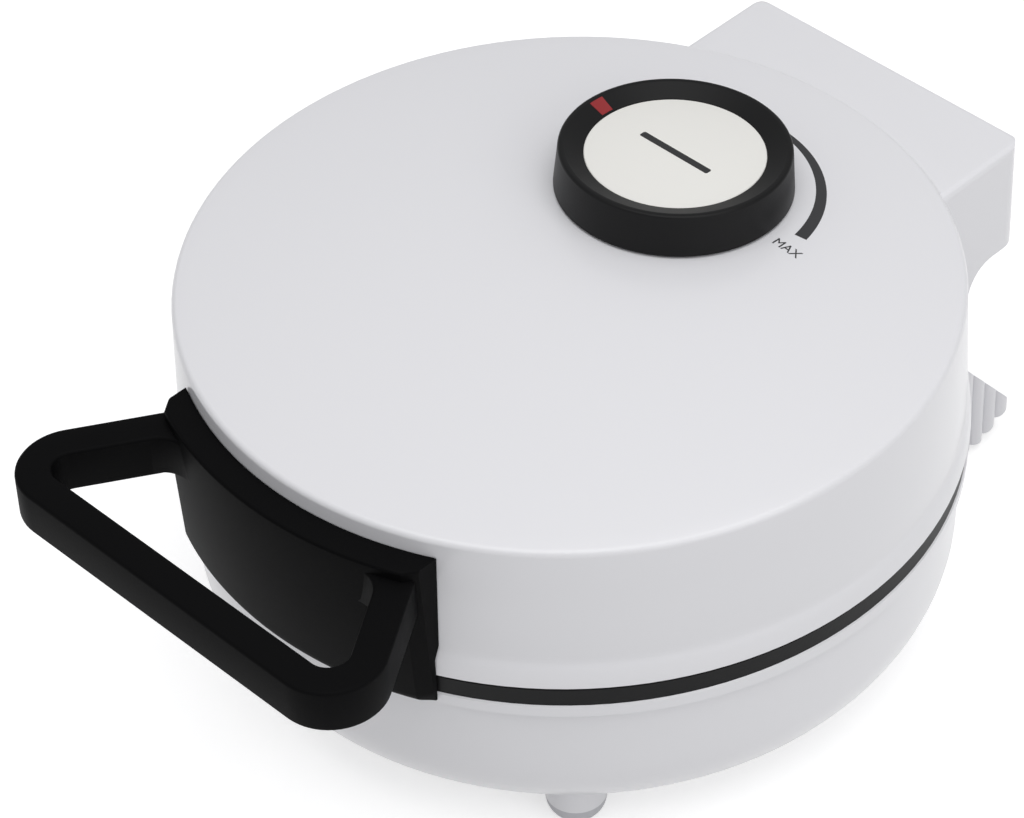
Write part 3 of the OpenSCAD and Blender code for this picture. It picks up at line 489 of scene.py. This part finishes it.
# The handle, in millimetres about the body's middle: its block, over the lid's wall and lip
BLOCK_TOP_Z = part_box("handle")[1].z / MM
BLOCK_BOTTOM_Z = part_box("handle")[0].z / MM
BLOCK_HALF_X = 46.5
BLOCK_TOP_R = 113.4
BLOCK_LOW_R = 111.2
BLOCK_END_CUT = 2.6
BLOCK_TOE_R = 3.5
BLOCK_TOP_EDGE = 1
BLOCK_MIN_WALL = 0.5
BLOCK_ROUNDING = 0.7
BLOCK_STEPS = 32
WALL_R = 105.35
WALL_FOOT_R = 106.25
LIP_R = 107.65
FLARE_Z = 74.5
LIP_Z = 70.3
SHARP_ANGLE = math.radians(40)

# The handle's loop, from the arms' outer faces, and the hollow corners at its roots
GRIP_FRONT = BODY_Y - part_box("handle")[0].y / MM
GRIP_CROSS_X = 75.0
ARM_SPLAY = math.radians(32.4)
ARM_ALONG = Vector((-math.sin(ARM_SPLAY), math.cos(ARM_SPLAY)))
ARM_INWARD = Vector((-math.cos(ARM_SPLAY), -math.sin(ARM_SPLAY)))
ARM_ROOT = 1.5
BAR_W = 9.5
BAR_H = 13.2
BAR_TOP_Z = BLOCK_TOP_Z - 3.0
BAR_BOTTOM_Z = BAR_TOP_Z - BAR_H
BAR_EDGE = 1.0
CORNER_R = 15.0
FILLET_R = 9.0
FILLET_SINK = 2.5
FILLET_STEP = 0.06
FILLET_EDGE_SHARE = 0.3


def front_y(r, x):
    """Where the circle of this radius about the body's middle lies in front of it"""
    return -math.sqrt(r * r - x * x)


def add_handle_block():
    """Block that wraps the lid's front, with cut ends and rounded edges"""
    inner = [(WALL_R, BLOCK_TOP_Z), (WALL_FOOT_R, FLARE_Z), (LIP_R, LIP_Z), (LIP_R, BLOCK_BOTTOM_Z)]
    outer = arc(BLOCK_LOW_R - BLOCK_TOE_R, BLOCK_BOTTOM_Z + BLOCK_TOE_R, BLOCK_TOE_R, -90, 0, 5)
    outer += arc(BLOCK_TOP_R - BLOCK_TOP_EDGE, BLOCK_TOP_Z - BLOCK_TOP_EDGE, BLOCK_TOP_EDGE, 0, 90, 4)
    full_half = BLOCK_HALF_X - BLOCK_END_CUT
    columns = [full_half * (1 - 2 * i / BLOCK_STEPS) for i in range(BLOCK_STEPS + 1)]
    sections = []
    for x in [BLOCK_HALF_X] + columns + [-BLOCK_HALF_X]:
        cut = BLOCK_END_CUT if abs(x) == BLOCK_HALF_X else 0
        least_y = front_y(LIP_R, x) - BLOCK_MIN_WALL
        sections.append([(x, front_y(r, x), z) for r, z in inner]
                        + [(x, min(front_y(r, x) + cut, least_y), z) for r, z in outer])
    edit = bmesh.new()
    sweep(edit, sections)
    piece = add_piece("handle_block", finish_mesh("handle_block", edit, BODY_FRAME), HANDLE_BLACK, "lid",
                      ("handle",))
    soften(piece, BLOCK_ROUNDING)


def soften(piece, width):
    """Rounds a piece's sharp edges"""
    rounding = piece.modifiers.new("rounding", "BEVEL")
    rounding.width = width * MM
    rounding.segments = 3
    rounding.limit_method = "ANGLE"
    rounding.angle_limit = SHARP_ANGLE
    rounding.harden_normals = True


def block_radius(z):
    share = (z - BLOCK_BOTTOM_Z) / (BLOCK_TOP_Z - BLOCK_BOTTOM_Z)
    return BLOCK_LOW_R + (BLOCK_TOP_R - BLOCK_LOW_R) * share


def arm_point(offset):
    """Where the right arm's line, this far inside its outer face, starts at the front"""
    return Vector((GRIP_CROSS_X, -GRIP_FRONT)) + ARM_INWARD * offset


def on_arm(offset, radius):
    """Where that line reaches a distance from the body's middle"""
    point = arm_point(offset)
    half = point.dot(ARM_ALONG)
    travel = -half - math.sqrt(half * half - point.dot(point) + radius * radius)
    return point + ARM_ALONG * travel


def bar_section():
    """Outline of the bar: across its width, and up from its underside"""
    outline = []
    for x, z, turn in ((BAR_W / 2, BAR_H, 0), (-BAR_W / 2, BAR_H, 90), (-BAR_W / 2, 0, 180),
                       (BAR_W / 2, 0, 270)):
        centre_x = x - math.copysign(BAR_EDGE, x)
        centre_z = BAR_EDGE if z == 0 else z - BAR_EDGE
        outline += arc(centre_x, centre_z, BAR_EDGE, turn, turn + 90, 4)
    return outline


def add_grip():
    """Loop of the handle: one bar swept along both arms, the corners and the front"""
    point = arm_point(BAR_W / 2)
    corner_r = CORNER_R - BAR_W / 2
    bar_y = -GRIP_FRONT + BAR_W / 2
    cross_x = point.x + ARM_ALONG.x * (bar_y - point.y) / ARM_ALONG.y
    turn = 90 + math.degrees(ARM_SPLAY)
    centre_x = cross_x - corner_r * math.tan(math.radians(turn / 2))
    path = [Vector(p) for p in arc(centre_x, bar_y + corner_r, corner_r, -90, -90 + turn, 20)]
    path.append(on_arm(BAR_W / 2, BLOCK_LOW_R - ARM_ROOT))
    path = [Vector((-p.x, p.y)) for p in reversed(path)] + path
    outline = bar_section()
    sections = []
    for before, place, after in zip(path[:1] + path, path, path[1:] + path[-1:]):
        ahead = ((place - before).normalized() + (after - place).normalized()).normalized()
        side = Vector((-ahead.y, ahead.x))
        sections.append([(place.x + side.x * u, place.y + side.y * u, BAR_BOTTOM_Z + z)
                         for u, z in outline])
    edit = bmesh.new()
    sweep(edit, sections)
    add_piece("handle_grip", finish_mesh("handle_grip", edit, BODY_FRAME, ROUND_ANGLE),
              HANDLE_BLACK, "lid")


def add_arm_fillets():
    """Hollow corners between the arms and the block"""
    centre = on_arm(BAR_W + FILLET_R, block_radius(BAR_BOTTOM_Z) + FILLET_R)
    start = math.degrees(ARM_SPLAY)
    end = math.degrees(math.atan2(-centre.y, -centre.x))
    low_edge = BAR_EDGE * FILLET_EDGE_SHARE
    levels = ((BAR_BOTTOM_Z + FILLET_STEP, BAR_EDGE), (BAR_BOTTOM_Z + BAR_EDGE, 0),
              (BAR_TOP_Z - BAR_EDGE, 0), (BAR_TOP_Z - low_edge, low_edge),
              (BAR_TOP_Z - FILLET_STEP, BAR_EDGE))
    for side, name in ((1, "arm_fillet_right"), (-1, "arm_fillet_left")):
        sections = []
        for z, inset in levels:
            curve = [Vector(p) for p in arc(centre.x, centre.y, FILLET_R + inset, start, end, 10)]
            root_r = block_radius(z) - FILLET_SINK
            root = [curve[-1].normalized() * root_r, on_arm(BAR_W - FILLET_SINK, root_r),
                    curve[0] - ARM_INWARD * FILLET_SINK]
            sections.append([(side * p.x, p.y, z) for p in curve + root])
        edit = bmesh.new()
        sweep(edit, sections)
        add_piece(name, finish_mesh(name, edit, BODY_FRAME, FILLET_ANGLE), HANDLE_BLACK, "lid")


# The feet, in millimetres about the body's middle
FOOT_RING_R = 88.0
FOOT_TURN = 46.0
FOOT_TOP_R = 8.3
FOOT_TIP_R = 4.2
FOOT_H = 6.0


def add_feet():
    edit = bmesh.new()
    steps = 8
    profile = [(0, 0)]
    for i in range(steps + 1):
        turn = math.radians(90 * i / steps)
        profile.append((FOOT_TIP_R + (FOOT_TOP_R - FOOT_TIP_R) * math.sin(turn),
                        FOOT_H * (1 - math.cos(turn))))
    profile.append((0, FOOT_H))
    for turn in (FOOT_TURN, 180 - FOOT_TURN, 180 + FOOT_TURN, -FOOT_TURN):
        place = math.radians(turn)
        lathe(edit, profile, 48, (FOOT_RING_R * math.cos(place), FOOT_RING_R * math.sin(place)))
    add_piece("feet_skin", finish_mesh("feet_skin", edit, BODY_FRAME), FOOT_GREY, "base",
              ("feet",))


# Print on the lid, in millimetres and degrees about the knob: a swelling arc and its two words
ARC_R = 39.4
ARC_FROM = 132.0
ARC_TO = 11.0
ARC_THIN = 0.8
ARC_THICK = 3.6
LETTER_H = 3.0
CAPITAL_SHARE = 0.72
MAX_TURN = 2
MIN_TURN = 139
ABOVE_LID_M = 1


def on_lid(lid_tree, x, y, proud):
    """The place on the dome above (x, y) in metres, raised by a little in millimetres"""
    hit = lid_tree.ray_cast(Vector((x, y, ABOVE_LID_M)), Vector((0, 0, -1)))[0]
    return hit + Vector((0, 0, proud * MM))


def about_knob(r, turn):
    """The place in metres at this radius in millimetres and this angle in radians about the knob"""
    return KNOB_AT.x + r * MM * math.cos(turn), KNOB_AT.y + r * MM * math.sin(turn)


def add_arc_print(lid_tree):
    """Flat ribbon laid on the dome, which swells towards its hot end"""
    edit = bmesh.new()
    steps = 60
    across = 4
    rows = []
    for i in range(steps + 1):
        share = i / steps
        turn = math.radians(ARC_FROM + (ARC_TO - ARC_FROM) * share)
        half = (ARC_THIN + (ARC_THICK - ARC_THIN) * share) / 2
        radii = [ARC_R + half * (2 * j / across - 1) for j in range(across + 1)]
        rows.append([edit.verts.new(on_lid(lid_tree, *about_knob(r, turn), PRINT_PROUD))
                     for r in radii])
    for row, after in zip(rows, rows[1:]):
        for j in range(across):
            edit.faces.new((row[j], row[j + 1], after[j + 1], after[j]))
    for face in edit.faces:
        face.normal_update()
        if face.normal.z < 0:
            face.normal_flip()
    bmesh.ops.solidify(edit, geom=edit.faces[:], thickness=PRINT_PROUD * MM)
    bmesh.ops.recalc_face_normals(edit, faces=edit.faces)
    mark_smooth(edit, SMOOTH_ANGLE)
    mesh = bpy.data.meshes.new("heat_arc")
    edit.to_mesh(mesh)
    edit.free()
    add_piece("heat_arc", mesh, PRINT_GREY, "lid")


def add_word(lid_tree, word, turn):
    """A small word on the dome, beside the arc's end"""
    name = "word_" + word.lower()
    text = bpy.data.curves.new(name, "FONT")
    text.body = word
    text.size = LETTER_H * MM / CAPITAL_SHARE
    text.align_x = "CENTER"
    text.align_y = "CENTER"
    text.extrude = PRINT_PROUD * MM
    shape = bpy.data.objects.new("shape_" + word.lower(), text)
    bpy.context.scene.collection.objects.link(shape)
    bpy.context.view_layer.update()
    mesh = bpy.data.meshes.new_from_object(shape.evaluated_get(bpy.context.evaluated_depsgraph_get()))
    bpy.data.objects.remove(shape)
    middle_x, middle_y = about_knob(ARC_R, math.radians(turn))
    for vert in mesh.vertices:
        spot = on_lid(lid_tree, middle_x + vert.co.x, middle_y + vert.co.y, 0)
        vert.co = spot + Vector((0, 0, vert.co.z + PRINT_PROUD / 2 * MM))
    mesh.name = name
    add_piece(name, mesh, PRINT_GREY, "lid")


def add_lid_print(lid_skin):
    lid_tree = BVHTree.FromPolygons([v.co for v in lid_skin.data.vertices],
                                    [tuple(p.vertices) for p in lid_skin.data.polygons])
    add_arc_print(lid_tree)
    add_word(lid_tree, "MAX", MAX_TURN)
    add_word(lid_tree, "MIN", MIN_TURN)


def add_stage():
    """A pale floor that keeps the object's shadow and shows white to the camera"""
    bpy.ops.mesh.primitive_plane_add(size=FLOOR_SIZE)
    floor = bpy.context.object
    floor.name = "floor"
    material, tree, shader, _ = new_material("floor")
    shader.inputs["Roughness"].default_value = FLOOR_ROUGH
    shader.inputs["Specular IOR Level"].default_value = FLOOR_GLOSS
    shader.inputs["Base Color"].default_value = (*FLOOR_COLOUR, 1)
    shader.inputs["Emission Color"].default_value = (1, 1, 1, 1)
    rays = tree.nodes.new("ShaderNodeLightPath")
    seen = rays.outputs["Is Camera Ray"]
    for ray in ("Is Glossy Ray", "Is Transmission Ray"):
        either = tree.nodes.new("ShaderNodeMath")
        either.operation = "MAXIMUM"
        link_nodes(tree, (seen, either.inputs[0]), (rays.outputs[ray], either.inputs[1]))
        seen = either.outputs["Value"]
    lift = tree.nodes.new("ShaderNodeMath")
    lift.operation = "MULTIPLY"
    lift.inputs[1].default_value = FLOOR_LIFT
    link_nodes(tree, (seen, lift.inputs[0]),
               (lift.outputs["Value"], shader.inputs["Emission Strength"]))
    floor.data.materials.append(material)


def add_world():
    world = bpy.data.worlds.new("studio")
    world.use_nodes = True
    background = world.node_tree.nodes["Background"]
    background.inputs["Color"].default_value = (*WORLD_COLOUR, 1)
    background.inputs["Strength"].default_value = WORLD_LEVEL
    bpy.context.scene.world = world


add_camera()
add_stage()
add_world()
add_area_light("top_light", TOP_LIGHT_AT, TOP_LIGHT_SIZE, TOP_LIGHT_W)
add_area_light("side_light", SIDE_LIGHT_AT, SIDE_LIGHT_SIZE, SIDE_LIGHT_W)

for node_name, node_material in KEPT.items():
    keep_node(node_name, node_material)
smooth_skin("base_shell", WHITE, "base", base_shape)
smooth_skin("rim_ring", RING_BLACK, "base", ring_shape)
smooth_skin("lower_plate", COATED, "base")
lid = smooth_skin("lid_shell", WHITE, "lid", lid_shape)
smooth_skin("liner_ring", RING_BLACK, "lid")
smooth_skin("upper_plate", COATED, "lid")
add_feet()
add_handle_block()
add_grip()
add_arm_fillets()
add_knob()
add_lid_print(lid)

bpy.context.scene.view_settings.view_transform = "Standard"
bpy.context.view_layer.update()
